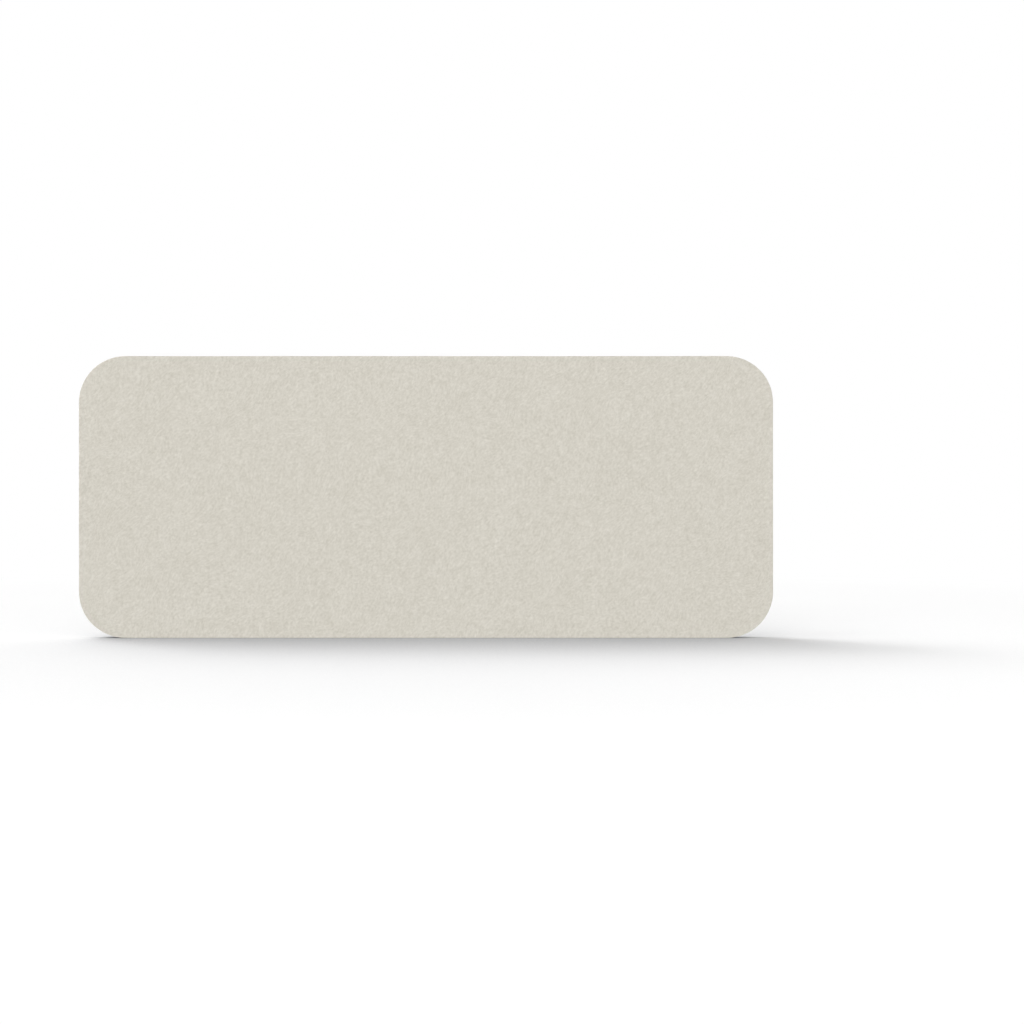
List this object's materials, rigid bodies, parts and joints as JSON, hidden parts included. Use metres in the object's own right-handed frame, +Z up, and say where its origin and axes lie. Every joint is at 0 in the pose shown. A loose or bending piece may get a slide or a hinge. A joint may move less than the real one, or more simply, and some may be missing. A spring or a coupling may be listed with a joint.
{
  "type": "acoustic divider screen",
  "caption": "Felt-covered acoustic divider screen with rounded corners that stands on its long straight bottom edge, with threaded inserts underneath for desk brackets.",
  "frame": {"origin": "middle of the underside of the base strip, on the floor", "axes": "+X along the width, -Y out of the front face, +Z up"},
  "size_m": [1.6, 0.03, 0.65],
  "materials": {
    "felt": "matt wool felt",
    "wadding": "thin white wadding",
    "absorber": "grey pressed fibre",
    "board": "hardboard",
    "frame_wood": "planed softwood",
    "corner_wood": "routed plywood",
    "dowel_wood": "beech dowel",
    "passivated_steel": "yellow passivated",
    "zinc_steel": "zinc plated",
    "insert_brass": "turned",
    "strip_plastic": "fine grain"
  },
  "bodies": {
    "root": {"front_felt": "felt", "rear_felt": "felt", "front_wadding": "wadding", "rear_wadding": "wadding", "barrier_board": "board", "top_rail": "frame_wood", "bottom_rail": "frame_wood", "left_stile": "frame_wood", "right_stile": "frame_wood", "top_left_corner_block": "corner_wood", "top_right_corner_block": "corner_wood", "bottom_left_corner_block": "corner_wood", "bottom_right_corner_block": "corner_wood", "front_left_mullion": "frame_wood", "front_right_mullion": "frame_wood", "rear_left_mullion": "frame_wood", "rear_right_mullion": "frame_wood", "front_left_pad": "absorber", "front_middle_pad": "absorber", "front_right_pad": "absorber", "rear_left_pad": "absorber", "rear_middle_pad": "absorber", "rear_right_pad": "absorber", "frame_dowels": "dowel_wood", "mullion_screws": "passivated_steel", "threaded_inserts": "insert_brass", "hem_staples": "zinc_steel", "base_strip": "strip_plastic", "base_strip_screws": "zinc_steel"}
  },
  "joints": []
}
